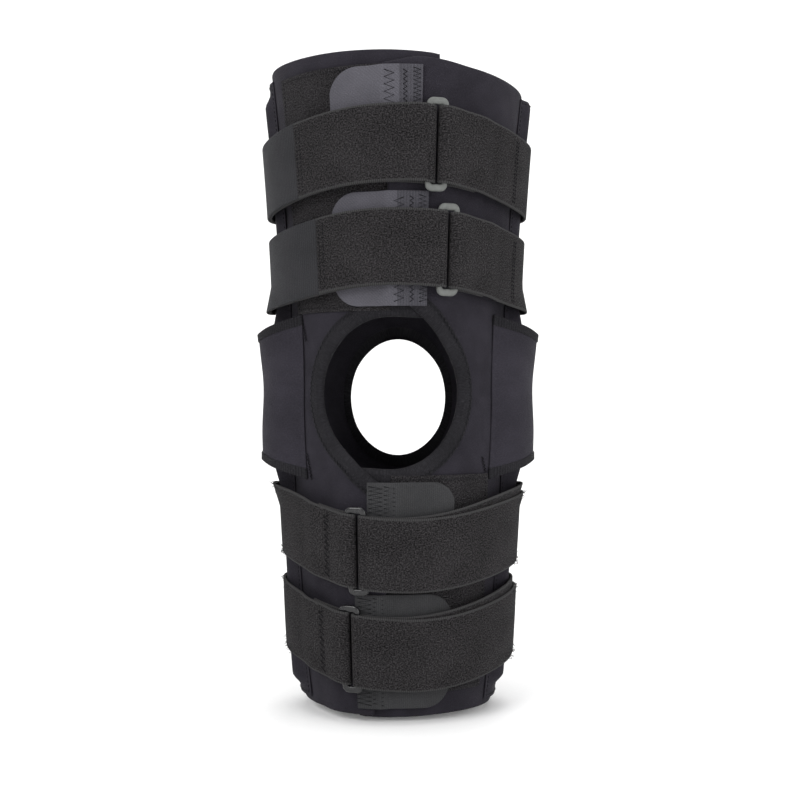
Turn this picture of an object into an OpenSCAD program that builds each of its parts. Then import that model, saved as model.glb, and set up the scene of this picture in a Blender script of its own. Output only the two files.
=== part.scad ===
// Hinged wraparound knee brace, in the shape that it holds on a leg.
// The origin is on the knee axis, midway between the two hinges. The front faces -Y and +Z is up the thigh.

/* [Leg fit] */
// Height from the knee axis up to the top hem
thigh_reach = 204; // [170:1:260]
// Depth from the knee axis down to the bottom hem
calf_reach = 196; // [182:1:240]
// Outside width of the wrap at the top hem
thigh_width = 162; // [140:1:200]
// Outside depth of the wrap at the top hem
thigh_depth = 166; // [140:1:200]
// Outside width of the wrap at the knee
knee_width = 134; // [112:1:162]
// Outside depth of the wrap at the knee
knee_depth = 127; // [106:1:153]
// Outside width of the wrap at the bottom hem
calf_width = 120; // [98:1:144]
// Outside depth of the wrap at the bottom hem
calf_depth = 108; // [90:1:130]

/* [Wrap] */
// Thickness of the neoprene
neoprene = 4; // [3:0.5:5]
// Where the thigh flap's free edge lies, in degrees from the front
thigh_flap = -4; // [-10:1:6]
// Where the calf flap's free edge lies, in degrees from the front
calf_flap = 4; // [-4:1:10]
// Width of the patella opening
patella_width = 81; // [65:1:90]
// Height of the patella opening
patella_height = 91; // [75:1:94]
// Width of the popliteal opening behind the knee
popliteal_width = 78; // [64:1:84]
// Height of the popliteal opening behind the knee
popliteal_height = 96; // [80:1:100]
// Width of the binding tape round both openings
binding_width = 9; // [6:0.5:10]

/* [Closure] */
// Space between the two hook tabs of a flap
tab_space = 8; // [2:1:30]
// Length of each hook tab, from its sewn end to its tip
tab_length = 55; // [45:1:65]
// Length of each hook tab that is sewn on the flap
tab_sewn = 19; // [12:1:24]
// Thickness of a hook tab
tab_t = 1.4; // [1:0.1:2]
// Thickness of a loop patch
patch_t = 1; // [0.8:0.1:1.5]

/* [Straps] */
// Width of each strap
strap_width = 45; // [36:1:46]
// Thickness of the strap webbing
webbing = 1.8; // [1.4:0.1:2.4]
// Thickness of the hook end of a strap
hook_t = 1.5; // [1.2:0.1:2]
// How much nearer the knee a strap runs at the sides than at the front
strap_dip = 12; // [0:1:16]
// Thickness of a ring's bars
ring_bar = 3; // [2.4:0.1:3.6]
// Width of a ring's slot
ring_slot = 8; // [7:0.5:10]

/* [Hinge] */
// Distance between a hinge's two pivots
pivot_gap = 26; // [24:0.5:30]
// Radius of a pivot pin
pin_r = 3; // [2.5:0.1:4]
// Thickness of a hinge arm
arm_t = 3; // [2.5:0.1:4]
// Width of a hinge arm
arm_width = 18; // [14:1:22]
// Thickness of each hinge plate
plate_t = 1.5; // [1:0.1:2]
// Thickness of the bearing liner on each side of the arms
liner_t = 0.4; // [0.3:0.1:0.8]
// Thickness of the condyle pad where it is thickest
pad_t = 6; // [4:0.5:8]
// Flexion of each pivot at its stop, in degrees
flex_each = 45; // [30:1:46]
// Thickness of the hinge cover's fabric
cover_t = 3.5; // [2.5:0.5:4]
// Thickness of the arm pockets' fabric
pocket_t = 2; // [1.5:0.1:2.5]

/* [Hidden] */

// Colours
wrap_colour = [0.13, 0.12, 0.16];
pile_colour = [0.10, 0.10, 0.10];
hook_colour = [0.26, 0.27, 0.29];
binding_colour = [0.09, 0.09, 0.09];
ring_colour = [0.45, 0.46, 0.45];
alloy_colour = [0.75, 0.76, 0.78];
liner_colour = [0.9, 0.9, 0.86];
pad_colour = [0.2, 0.2, 0.22];

// Clearances
gap = 0.3;        // between layers of fabric
slack = 0.1;      // more, where a fabric is stretched over something stiff
running = 0.05;   // radial, round each pivot pin
seat = 0.02;      // radial, round each fixed pin
ring_gap = 0.5;   // between a ring's bars and the straps folded round them
face_gap = 0.1;   // between a hinge's flat faces

// The leg's form
thigh_flare = 1.6;
depth_flare = 1.3;
calf_taper = 2.6;
calf_bulge = 2.5;
knee_forward = 9.5;
thigh_forward = 3;
calf_back = 3;
calf_settle = 0.75;

// The wrap's split into a thigh part, a part round the knee and a calf part
knee_zone = 58;
flap_under = 18;  // degrees of the lower flap that the upper flap covers
flap_ramp = 20;   // degrees over which the upper flap settles onto the wrap
patella_x = -4;
patella_z = 2;
hem_margin = 9;   // from a hem to the hook tabs
tab_above = -3;   // from the knee zone to the hook tabs, where a tab may reach over the knee zone
patch_edge = 62;  // degrees from the front to a loop patch's outer edge

// The straps: height at the front, ring, end of the tail's pile and end of the hook end, in degrees
ring_over = 5;          // how far a ring shows past each edge of its strap
ring_height = strap_width + 2 * ring_over;
strap_above = 30;       // from the knee zone to the middle of the first strap above it
strap_below = 36;       // from the knee zone to the middle of the first strap below it
thigh_share = 0.725;    // where the second strap above the knee lies on a long thigh part
calf_share = 0.79;      // where the second strap below the knee lies on a long calf part
first_up = knee_zone + strap_above;
first_down = knee_zone + strap_below;
second_up = max(thigh_share * thigh_reach, first_up + ring_height + 1);
second_down = max(calf_share * calf_reach, first_down + ring_height + 1);
upper_thigh_run = [ second_up,   15.5,  -46,  -108];
lower_thigh_run = [ first_up,    21.5,  -39,  -105];
upper_calf_run  = [ -first_down, 18.5, -100,  -138];
lower_calf_run  = [ -second_down, 22.5, -100,  -138];
strap_start = 130;      // where a strap is sewn to the wrap, behind the side
chape_end = 127;
strap_on_flap = neoprene + 2 * gap + tab_t;     // how far the closure holds a strap off the wrap
closure_mid = 9;        // degrees from the front to the middle of what the closure lifts
closure_half = 46;      // degrees
arm_plateau = 13;       // degrees on each side of an arm where a strap lies fully on its pocket
off_arm = 45;           // degrees over which a strap comes back to the wrap behind an arm
fold_leg = 1;           // the length of strap that lies flat at each end of the fold round a ring
bend_zone = 3.4;        // from the ring's bar to the tail, over which the strap bends as the tail opens
fold_back = 20;         // the length of a chape that is sewn back on itself
keeper_half = 9;        // degrees
keeper_t = 1.2;
keeper_foot = 5;

// The hinges
pivot = pivot_gap / 2;
teeth = 16;             // of the whole circle, of which each arm carries a sector
backlash = 0.5;         // degrees off each side of a tooth
pressure = 20;
gear_module = pivot_gap / teeth;
tip_r = pivot + 0.8 * gear_module;
root_r = pivot - 1.1 * gear_module;
base_r = pivot * cos(pressure);
head_end = 36;          // height at which an arm leaves the hinge's plane
arm_margin = 18;        // from a hem to the arm's tip
arm_off_leg = 0.6;
arm_slack = 0.4;        // between an arm and its pocket
pocket_half = 16;
pocket_shoulder = 1.5;  // from an arm's edge to where its pocket starts to fall away
pocket_margin = 10;     // from a hem to an arm pocket
pocket_start = 52;
stop_r = 1.8;
stop_along = 9.4;       // from the pivot to a stop pin, along the arm
stop_clear = 0.15;
plate_half = 18;
rivet_head_r = 5;
rivet_head_t = 1.2;
pad_r = 28;
pad_half = 26;

// The layers of a hinge, from the leg outwards
pad_in = knee_width / 2 + 0.5;
inner_plate_x = pad_in + pad_t + gap;
liner_x = inner_plate_x + plate_t + face_gap;
arm_x = liner_x + liner_t + face_gap;
outer_liner_x = arm_x + arm_t + face_gap;
outer_plate_x = outer_liner_x + liner_t + face_gap;
hinge_out = outer_plate_x + plate_t + rivet_head_t;

// The hinge cover, between the two openings' bindings
cover_gap = 2.5;
cover_front = -half_d(0) * sqrt(1 - pow((patella_width / 2 - patella_x + binding_width) / half_w(0), 2))
    + mid_y(0) + cover_gap + 3;
cover_rear = half_d(0) * sqrt(1 - pow((popliteal_width / 2 + binding_width) / half_w(0), 2))
    + mid_y(0) - cover_gap;
cover_crown = [-14, 19];
cover_half = 50;
cover_corner = 38;
cover_air = 1.1;
cover_flare = 3;        // how far the upper corners stand out past the middle

step = 6;               // the widest turn between two columns of a skin, in degrees

function ease(t) = let (s = min(max(t, 0), 1)) s * s * (3 - 2 * s);
function steps(a, b, widest) = let (n = ceil(abs(b - a) / widest)) [for (i = [0:n]) a + (b - a) * i / n];
function wrapped(u) = u > 180 ? u - 360 : u < -180 ? u + 360 : u;

// Leg form: the outside of the wrap is an ellipse at each height.
function up(z) = max(z, 0) / thigh_reach;
function down(z) = max(-z, 0) / calf_reach;
function half_w(z) = knee_width / 2
    + (thigh_width - knee_width) / 2 * pow(up(z), thigh_flare)
    - (knee_width - calf_width) / 2 * pow(down(z), calf_taper);
function half_d(z) = knee_depth / 2
    + (thigh_depth - knee_depth) / 2 * pow(up(z), depth_flare)
    - (knee_depth - calf_depth) / 2 * pow(down(z), calf_taper)
    + calf_bulge * pow(sin(180 * min(down(z), 1)), 2);
function mid_y(z) = -knee_forward + (knee_forward - thigh_forward) * up(z)
    + (knee_forward + calf_back) * ease(down(z) / calf_settle);
// The point at angle u from the front, height z, off outside the wrap.
function leg_point(u, z, off) = [
    (half_w(z) + off) * sin(u),
    mid_y(z) - (half_d(z) + off) * cos(u),
    z,
];
// The wrap's outside at the side, as a distance along X.
function side_x(y, z) = half_w(z) * sqrt(max(0, 1 - pow((y - mid_y(z)) / half_d(z), 2)));
function degrees_of(length, z) = length / half_w(z) * 180 / PI;

// A solid between two grids of points, each grid[column][row].
module shell(inner, outer, ring = false) {
    n = len(inner);
    m = len(inner[0]);
    flat = [for (g = [inner, outer]) for (column = g) for (p = column) p];
    function id(side, i, j) = side * n * m + (i % n) * m + j;
    function quad(a, b, c, d) = [[a, b, c], [a, c, d]];
    last = ring ? n - 1 : n - 2;
    faces = [
        for (i = [0:last]) each [
            for (j = [0:m - 2]) each quad(id(1, i, j), id(1, i, j + 1), id(1, i + 1, j + 1), id(1, i + 1, j)),
            for (j = [0:m - 2]) each quad(id(0, i, j), id(0, i + 1, j), id(0, i + 1, j + 1), id(0, i, j + 1)),
            each quad(id(0, i, 0), id(1, i, 0), id(1, i + 1, 0), id(0, i + 1, 0)),
            each quad(id(0, i, m - 1), id(0, i + 1, m - 1), id(1, i + 1, m - 1), id(1, i, m - 1)),
        ],
        if (!ring) each [
            for (j = [0:m - 2]) each quad(id(0, 0, j), id(0, 0, j + 1), id(1, 0, j + 1), id(1, 0, j)),
            for (j = [0:m - 2])
                each quad(id(0, n - 1, j), id(1, n - 1, j), id(1, n - 1, j + 1), id(0, n - 1, j + 1)),
        ],
    ];
    polyhedron(flat, faces, convexity = 8);
}

// A skin that lies round the leg, from the angles us, between the heights lo(u) and hi(u).
module skin(us, lo, hi, inner, outer, rows = 2, ring = false) {
    function grid(off) = [for (u = us) [for (j = [0:rows])
        let (z = lo(u) + (hi(u) - lo(u)) * j / rows) leg_point(u, z, off(u, z))]];
    shell(grid(inner), grid(outer), ring);
}

// A skin on the right side, over the ordinates ys, where inner and outer give X.
module side_skin(ys, lo, hi, inner, outer, rows) {
    function grid(x) = [for (y = ys) [for (j = [0:rows])
        let (z = lo(y) + (hi(y) - lo(y)) * j / rows) [x(y, z), y, z]]];
    shell(grid(inner), grid(outer));
}

module on_left() { mirror([1, 0, 0]) children(); }

// A flat piece in the hinge's plane: its outline is drawn in Y and Z.
module slab(x, t) { translate([x, 0, 0]) rotate([90, 0, 90]) linear_extrude(t) children(); }

// ---- The wrap ----

// The flap at the strip's far end lies over the strip's near end.
function flap_lift(u, flap) = let (from_edge = u - (flap - 360))
    (neoprene + gap) * (1 - ease((from_edge - flap_under - 2) / flap_ramp));

module wrap(lo, hi, flap, rows) {
    skin(steps(flap - 360, flap + flap_under, step), function (u) lo, function (u) hi,
        function (u, z) flap_lift(u, flap) - neoprene, function (u, z) flap_lift(u, flap), rows);
}

module thigh_wrap() color(wrap_colour) wrap(knee_zone + gap, thigh_reach, thigh_flap, 7);

module calf_wrap() color(wrap_colour) on_left() wrap(-calf_reach, -knee_zone - gap, calf_flap, 7);

module oval(w, h) { polygon([for (t = [0:6:354]) [w / 2 * cos(t), h / 2 * sin(t)]]); }

// Cuts an oval through the front or the rear wall.
module through_front(w, h) {
    translate([patella_x, 0, patella_z]) rotate([90, 0, 0]) linear_extrude(knee_depth) oval(w, h);
}
module through_rear(w, h) { rotate([-90, 0, 0]) linear_extrude(knee_depth) oval(w, h); }

module knee_band(inner, outer, rows) {
    skin(steps(-180, 180 - step, step), function (u) -knee_zone, function (u) knee_zone,
        function (u, z) inner, function (u, z) outer, rows, ring = true);
}

module knee_panel() color(wrap_colour) difference() {
    knee_band(-neoprene, 0, 8);
    through_front(patella_width, patella_height);
    through_rear(popliteal_width, popliteal_height);
}

// Tape laid on the wrap round an opening; the oval's centre is at angle u0 and height z0.
module binding(u0, z0, w, h, t0, t1) {
    function round_oval(t, grow) = let (z = z0 + (h / 2 + grow) * sin(t))
        [u0 + asin(min(0.99, (w / 2 + grow) * abs(cos(t)) / half_w(z))) * sign(cos(t)), z];
    function grid(off) = [for (t = steps(t0, t1, 7.5)) [for (grow = [0, binding_width])
        let (p = round_oval(t, grow)) leg_point(p[0], p[1], off)]];
    shell(grid(gap + 1), grid(gap));
}

module patella_binding(t0, t1) color(binding_colour)
    binding(asin(patella_x / half_w(0)), patella_z, patella_width, patella_height, t0, t1);
module patella_binding_left() patella_binding(91, 269);
module patella_binding_right() patella_binding(-89, 89);
module popliteal_binding() color(binding_colour) for (t0 = [0.5, 180.5])
    binding(180, 0, popliteal_width, popliteal_height, t0, t0 + 179);

// ---- The front closure ----

// The edge of a tab with a round tip, where d is the distance from the tip.
function tip_cut(d, r) = r - sqrt(max(0, r * r - pow(r - min(d, r), 2)));

module loop_patch(lo, hi, flap) color(pile_colour)
    skin(steps(-patch_edge, flap - 1.5, step), function (u) lo, function (u) hi,
        function (u, z) gap, function (u, z) gap + patch_t, 6);

// A tab lies on the loop patch at its tip, and climbs on to the flap that it is sewn to.
function tab_base(u, flap) = 2 * gap + patch_t + (neoprene - patch_t) * ease((u - flap + 8) / 7);

module hook_tab(lo, hi, flap) {
    mid = (lo + hi) / 2;
    u_tip = flap - degrees_of(tab_length - tab_sewn, mid);
    cut = function (u) tip_cut((u - u_tip) * half_w(mid) * PI / 180 + 0.6, (hi - lo) / 3.4);
    color(hook_colour) skin(steps(u_tip, flap + degrees_of(tab_sewn, mid), 3),
        function (u) lo + cut(u), function (u) hi - cut(u),
        function (u, z) tab_base(u, flap), function (u, z) tab_base(u, flap) + tab_t, 4);
}

// The two tabs of a flap share the height between the knee zone and the hem.
tab_low = knee_zone + tab_above;
thigh_tab = (thigh_reach - hem_margin - tab_low - tab_space) / 2;
calf_tab = (calf_reach - hem_margin - tab_low - tab_space) / 2;
module thigh_loop_patch() loop_patch(knee_zone + gap, thigh_reach - hem_margin, thigh_flap);
module calf_loop_patch() on_left() loop_patch(hem_margin - calf_reach, -knee_zone - gap, calf_flap);
module thigh_hook_tab_upper() hook_tab(thigh_reach - hem_margin - thigh_tab, thigh_reach - hem_margin, thigh_flap);
module thigh_hook_tab_lower() hook_tab(tab_low, tab_low + thigh_tab, thigh_flap);
module calf_hook_tab_upper() on_left() hook_tab(-tab_low - calf_tab, -tab_low, calf_flap);
module calf_hook_tab_lower() on_left()
    hook_tab(hem_margin - calf_reach, hem_margin - calf_reach + calf_tab, calf_flap);

// ---- The straps ----

// How far a strap lies off the wrap to pass over an arm's pocket, whose flat reaches furthest out at one edge.
function arm_lift(z) = let (
        reach = arm_width / 2 + pocket_shoulder + abs(mid_y(z)),
        s = reach / (half_d(z) + arm_t + 2 * pocket_t))
    (arm_out(z) + slack) / sqrt(1 - s * s) - half_w(z);
// How far a strap's underside is from the wrap: it bridges from the closure to the pocketed arms.
function strap_base(u, z) = let (
        v = wrapped(u),
        side = acos(mid_y(z) / half_d(z)),
        near = closure_half + sign(v) * closure_mid,
        bridge = ease((abs(v) - near) / (side - arm_plateau - near)))
    (strap_on_flap + (arm_lift(z) - strap_on_flap) * bridge) * (1 - ease((abs(v) - side - arm_plateau) / off_arm));
// The height of a strap's middle.
function strap_z(u, run) = run[0] - sign(run[0]) * strap_dip * pow(sin(u), 2);
ring_off = gap + webbing + ring_gap + ring_bar / 2;
bar_x = (ring_slot + ring_bar) / 2;
// How far a strap's outer layer rises over its inner layer, d from the ring's bar.
function tail_rise(d) = webbing + gap + (ring_off * 2 - gap - 2 * (webbing + gap)) * (1 - ease(d / 14));
function chape_rise(d) = tail_rise(d) - (webbing + gap) * ease((d - fold_back - 2) / 12);

module strap_skin(run, u0, u1, off, t, widest = step) {
    skin(steps(u0, u1, widest), function (u) strap_z(u, run) - strap_width / 2,
        function (u) strap_z(u, run) + strap_width / 2,
        function (u, z) strap_base(u, z) + gap + off(u),
        function (u, z) strap_base(u, z) + gap + off(u) + t, 3);
}

// The place of a strap's ring: X to the right along the leg, Y into it and Z up along it.
module at_ring(run) {
    u = run[1];
    z = strap_z(u, run);
    off = strap_base(u, z) + ring_off;
    yaw = atan2(sin(u) * (half_d(z) + off), cos(u) * (half_w(z) + off));
    lean = atan2(half_d(z + 10) - mid_y(z + 10) - half_d(z - 10) + mid_y(z - 10), 20);
    translate(leg_point(u, z, off)) rotate([0, 0, yaw]) rotate([lean, 0, 0]) children();
}

// A ring, whose bars are chamfered by a quarter of their thickness.
module ring(run) color(ring_colour) at_ring(run) rotate([90, 0, 0]) {
    ring_layer(0, ring_bar / 2);
    ring_layer(ring_bar / 4, ring_bar);
}

module ring_layer(inset, t) linear_extrude(t, center = true) difference() {
    ring_outline(ring_slot + 2 * (ring_bar - inset), ring_height - 2 * inset, 4 - inset);
    ring_outline(ring_slot + 2 * inset, ring_height - 2 * (ring_bar - inset), 1 + inset);
}

module ring_outline(w, h, r) {
    square([w - 2 * r, h], center = true);
    square([w, h - 2 * r], center = true);
    for (x = [-1, 1], y = [-1, 1]) translate([x * (w / 2 - r), y * (h / 2 - r)]) circle(r, $fn = 32);
}

// Webbing bent round a ring's bar, on the side that faces the slot.
module fold(run, side) {
    inside = ring_bar / 2 + ring_gap;
    function bend(r) = [[side * fold_leg, r], for (t = [90:-15:-90]) [-side * r * cos(t), r * sin(t)],
        [side * fold_leg, -r]];
    near = bend(inside);
    far = bend(inside + webbing);
    at_ring(run) translate([side * bar_x, 0, 0]) linear_extrude(strap_width - 0.4, center = true)
        polygon(concat(side > 0 ? near : far, [for (i = [len(far) - 1:-1:0]) (side > 0 ? far : near)[i]]));
}

function bar_u(run, side) = run[1] + side * degrees_of(bar_x, run[0]);

module strap(run) color(pile_colour) {
    strap_skin(run, strap_start - 360, bar_u(run, -1), function (u) 0, webbing);
    fold(run, -1);
}

module chape(run) color(pile_colour) {
    u0 = bar_u(run, 1);
    strap_skin(run, u0, u0 + degrees_of(fold_back, run[0]), function (u) 0, webbing);
    strap_skin(run, u0, chape_end, function (u) chape_rise((u - u0) * half_w(run[0]) * PI / 180), webbing, 3.5);
    fold(run, 1);
}

module tail(run) color(pile_colour) {
    u1 = bar_u(run, -1) - degrees_of(bend_zone, run[0]);
    strap_skin(run, run[2] + 0.3, u1,
        function (u) tail_rise((u1 - u) * half_w(run[0]) * PI / 180), webbing, 3.5);
}

module hook_end(run) color(hook_colour)
    strap_skin(run, run[3], run[2] - 0.3, function (u) webbing + gap, hook_t);

// A loop of webbing on the wrap's rear that keeps a strap in its place.
module keeper(run) {
    half = strap_width / 2 + 1;
    over = function (z) let (d = abs(z - run[0]) - half) (webbing + gap) * (1 - ease(d / 3));
    color(binding_colour) skin(steps(180 - keeper_half, 180 + keeper_half, step),
        function (u) run[0] - half - keeper_foot, function (u) run[0] + half + keeper_foot,
        function (u, z) gap + over(z), function (u, z) gap + over(z) + keeper_t, 18);
}

module thigh_strap_keepers() for (run = [upper_thigh_run, lower_thigh_run]) keeper(run);
module calf_strap_keepers() for (run = [upper_calf_run, lower_calf_run]) keeper(run);

// ---- The hinges, drawn on the right side ----

function involute_turn(r) = let (a = acos(base_r / r)) tan(a) * 180 / PI - a;
half_tooth = 90 / teeth - backlash + involute_turn(pivot);

module tooth(at) {
    flank = [for (i = [0:3]) let (r = base_r + (tip_r - base_r) * i / 3) [r, half_tooth - involute_turn(r)]];
    rising = concat([[root_r - 0.4, half_tooth]], flank);
    right = [for (p = rising) [p[0], -p[1]]];
    left = [for (i = [len(rising) - 1:-1:0]) rising[i]];
    polygon([for (p = concat(right, left)) p[0] * [cos(at + p[1]), sin(at + p[1])]]);
}

// An arm seen from the side, with its pivot at the origin; teeth_at lists its teeth's directions.
module arm_outline(length, teeth_at) {
    circle(root_r, $fn = 64);
    for (a = teeth_at) tooth(a);
    translate([-arm_width / 2, 0]) square([arm_width, length - arm_width / 2]);
    translate([0, length - arm_width / 2]) circle(arm_width / 2, $fn = 48);
}

// The inner face of an arm, by height: in the hinge's plane at the head, then along the leg.
function arm_in(z) = let (s = (abs(z) - head_end) / 34)
    s <= 0 ? arm_x : s >= 1 ? half_w(z) + arm_off_leg
    : arm_x + (half_w(sign(z) * (head_end + 34)) + arm_off_leg - arm_x) * s;

// The outer face of an arm's pocket.
function arm_out(z) = arm_in(z) + arm_t + arm_slack + pocket_t;

// An arm from the pivot at height way * pivot to its tip; way is 1 for the thigh and -1 for the calf.
module arm(way, reach, teeth_at) {
    tip = reach - arm_margin;
    zs = concat([-tip_r - 1, head_end, head_end + 34], [for (i = [1:3]) head_end + 34 + (tip - head_end - 34) * i / 3]);
    outer = [for (z = zs) [arm_in(way * max(z, 0)) + arm_t, z]];
    inner = [for (i = [len(outer) - 1:-1:0]) outer[i] - [arm_t, 0]];
    color(alloy_colour) difference() {
        intersection() {
            mirror([0, 0, way < 0 ? 1 : 0]) rotate([90, 0, 0])
                linear_extrude(3 * arm_width, center = true) polygon(concat(outer, inner));
            slab(arm_x - 40, 80) translate([0, way * pivot]) mirror([0, way < 0 ? 1 : 0])
                arm_outline(tip - pivot, teeth_at);
        }
        slab(arm_x - 1, arm_t + 2) translate([0, way * pivot]) circle(pin_r + running, $fn = 48);
    }
}

pitch = 360 / teeth;
module femoral_arm() arm(1, thigh_reach, [for (k = [-1:3]) 270 + k * pitch]);
module tibial_arm() arm(-1, calf_reach, [for (k = [-2:2]) 270 + (k + 0.5) * pitch]);

// The plates' outline, holed for the pivots and the stops.
module plate_outline() {
    difference() {
        union() {
            for (s = [-1, 1]) translate([0, s * pivot]) circle(plate_half, $fn = 64);
            square([2 * plate_half, 2 * pivot], center = true);
        }
        for (s = [-1, 1]) translate([0, s * pivot]) circle(pin_r + seat, $fn = 48);
        for (p = stop_places()) translate(p) circle(stop_r + seat, $fn = 32);
    }
}

// One pin stops each arm when the knee is straight, and one when it is fully bent.
function stop_places() = let (off = arm_width / 2 + stop_r + stop_clear, s = sin(flex_each), c = cos(flex_each))
    [for (way = [-1, 1]) each [
        [-off, way * (pivot + stop_along)],
        [stop_along * s + off * c, way * (pivot + stop_along * c - off * s)],
    ]];

module inner_plate() color(alloy_colour) slab(inner_plate_x, plate_t) plate_outline();
module outer_plate() color(alloy_colour) slab(outer_plate_x, plate_t) plate_outline();

module liner_outline() difference() {
    circle(pin_r + 5.5, $fn = 48);
    circle(pin_r + running, $fn = 48);
}
module hinge_liners() color(liner_colour) for (x = [liner_x, outer_liner_x], s = [-1, 1])
    slab(x, liner_t) translate([0, s * pivot]) liner_outline();

module pivot_pins() color(alloy_colour) for (s = [-1, 1]) {
    slab(inner_plate_x, outer_plate_x + plate_t - inner_plate_x) translate([0, s * pivot]) circle(pin_r, $fn = 48);
    slab(outer_plate_x + plate_t, rivet_head_t) translate([0, s * pivot]) circle(rivet_head_r, $fn = 48);
}

module stop_pins() color(alloy_colour) for (p = stop_places())
    slab(inner_plate_x, outer_plate_x + plate_t - inner_plate_x) translate(p) circle(stop_r, $fn = 32);

module condyle_pad() {
    half_z = function (y) sqrt(pad_r * pad_r - y * y);
    color(pad_colour) side_skin(steps(-pad_half, pad_half, 4), function (y) -half_z(y), half_z,
        function (y, z) side_x(y, z) + gap, function (y, z) pad_in + pad_t, 6);
}

// ---- The pockets ----

module arm_pocket(lo, hi) {
    over_arm = function (y, z) max(side_x(y, z) + gap,
        arm_in(z) + arm_t + arm_slack - 1.5 * max(0, abs(y) - arm_width / 2 - pocket_shoulder));
    color(pile_colour) side_skin(steps(-pocket_half, pocket_half, 2.3), function (y) lo, function (y) hi,
        over_arm, function (y, z) over_arm(y, z) + pocket_t, 7);
}
module thigh_arm_pocket() arm_pocket(pocket_start, thigh_reach - pocket_margin);
module calf_arm_pocket() arm_pocket(pocket_margin - calf_reach, -pocket_start);

// The cover's inside at its crown: over the hinge, flared towards its upper corners, then cut in to the arm.
function crown_in(z) = let (mid = hinge_out + cover_air, edge = arm_in(cover_half) + arm_t + arm_slack)
    abs(z) < cover_corner ? mid + cover_flare * pow(abs(z) / cover_corner, 2) * (z > 0 ? 1 : 0.2)
    : let (corner = mid + cover_flare * (z > 0 ? 1 : 0.2))
        corner + (edge - corner) * (abs(z) - cover_corner) / (cover_half - cover_corner);
function cover_rise(y) = sin(90 * min(1, y < 0 ? (y - cover_front) / (cover_crown[0] - cover_front)
    : (cover_rear - y) / (cover_rear - cover_crown[1])));
function cover_in(y, z) = let (skin_x = side_x(y, z) + gap) skin_x + (crown_in(z) - skin_x) * cover_rise(y);

module hinge_cover() color(wrap_colour)
    side_skin(steps(cover_front, cover_rear, 5), function (y) -cover_half, function (y) cover_half,
        function (y, z) cover_in(y, z), function (y, z) cover_in(y, z) + cover_t, 12);

// ---- The nodes ----

thigh_wrap();
thigh_loop_patch();
thigh_hook_tab_upper();
thigh_hook_tab_lower();
on_left() thigh_arm_pocket();  // thigh_arm_pocket_left
thigh_arm_pocket();  // thigh_arm_pocket_right
on_left() femoral_arm();  // femoral_arm_left
femoral_arm();  // femoral_arm_right
thigh_strap_keepers();
strap(upper_thigh_run);  // upper_thigh_strap
ring(upper_thigh_run);  // upper_thigh_ring
chape(upper_thigh_run);  // upper_thigh_chape
tail(upper_thigh_run);  // upper_thigh_tail
hook_end(upper_thigh_run);  // upper_thigh_hook_end
strap(lower_thigh_run);  // lower_thigh_strap
ring(lower_thigh_run);  // lower_thigh_ring
chape(lower_thigh_run);  // lower_thigh_chape
tail(lower_thigh_run);  // lower_thigh_tail
hook_end(lower_thigh_run);  // lower_thigh_hook_end
calf_wrap();
calf_loop_patch();
calf_hook_tab_upper();
calf_hook_tab_lower();
on_left() calf_arm_pocket();  // calf_arm_pocket_left
calf_arm_pocket();  // calf_arm_pocket_right
on_left() tibial_arm();  // tibial_arm_left
tibial_arm();  // tibial_arm_right
calf_strap_keepers();
on_left() strap(upper_calf_run);  // upper_calf_strap
on_left() ring(upper_calf_run);  // upper_calf_ring
on_left() chape(upper_calf_run);  // upper_calf_chape
on_left() tail(upper_calf_run);  // upper_calf_tail
on_left() hook_end(upper_calf_run);  // upper_calf_hook_end
on_left() strap(lower_calf_run);  // lower_calf_strap
on_left() ring(lower_calf_run);  // lower_calf_ring
on_left() chape(lower_calf_run);  // lower_calf_chape
on_left() tail(lower_calf_run);  // lower_calf_tail
on_left() hook_end(lower_calf_run);  // lower_calf_hook_end
knee_panel();
patella_binding_left();
patella_binding_right();
popliteal_binding();
on_left() hinge_cover();  // hinge_cover_left
hinge_cover();  // hinge_cover_right
on_left() condyle_pad();  // condyle_pad_left
condyle_pad();  // condyle_pad_right
on_left() inner_plate();  // inner_plate_left
inner_plate();  // inner_plate_right
on_left() outer_plate();  // outer_plate_left
outer_plate();  // outer_plate_right
on_left() hinge_liners();  // hinge_liners_left
hinge_liners();  // hinge_liners_right
on_left() pivot_pins();  // pivot_pins_left
pivot_pins();  // pivot_pins_right
on_left() stop_pins();  // stop_pins_left
stop_pins();  // stop_pins_right
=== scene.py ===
import math

import bmesh
import bpy
import numpy as np
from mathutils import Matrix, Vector, noise
from mathutils.geometry import delaunay_2d_cdt


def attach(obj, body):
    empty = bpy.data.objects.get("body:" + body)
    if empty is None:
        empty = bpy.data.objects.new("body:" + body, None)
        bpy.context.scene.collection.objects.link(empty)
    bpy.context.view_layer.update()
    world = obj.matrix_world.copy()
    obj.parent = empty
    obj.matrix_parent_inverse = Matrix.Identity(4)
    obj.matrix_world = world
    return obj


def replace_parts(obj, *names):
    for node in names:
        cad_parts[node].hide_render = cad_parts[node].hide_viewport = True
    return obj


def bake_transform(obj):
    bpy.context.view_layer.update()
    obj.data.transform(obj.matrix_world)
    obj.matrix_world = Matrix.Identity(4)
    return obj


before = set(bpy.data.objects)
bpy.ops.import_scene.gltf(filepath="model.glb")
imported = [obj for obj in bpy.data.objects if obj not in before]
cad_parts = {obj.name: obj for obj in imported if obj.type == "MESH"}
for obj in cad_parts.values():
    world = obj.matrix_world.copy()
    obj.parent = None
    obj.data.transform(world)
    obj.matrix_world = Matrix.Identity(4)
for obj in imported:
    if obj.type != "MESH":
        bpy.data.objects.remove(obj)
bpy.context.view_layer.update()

# A hinged knee brace in its worn shape. The shapes are worked out in millimetres, as in the CAD,
# and become metres where a mesh is made. The front faces -Y and the calf's half is built mirrored in X.
MM = 0.001
THIGH, CALF = 1, -1
REACH = {THIGH: 204.0, CALF: 196.0}
NEOPRENE = 4.0
GAP = 0.3
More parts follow.
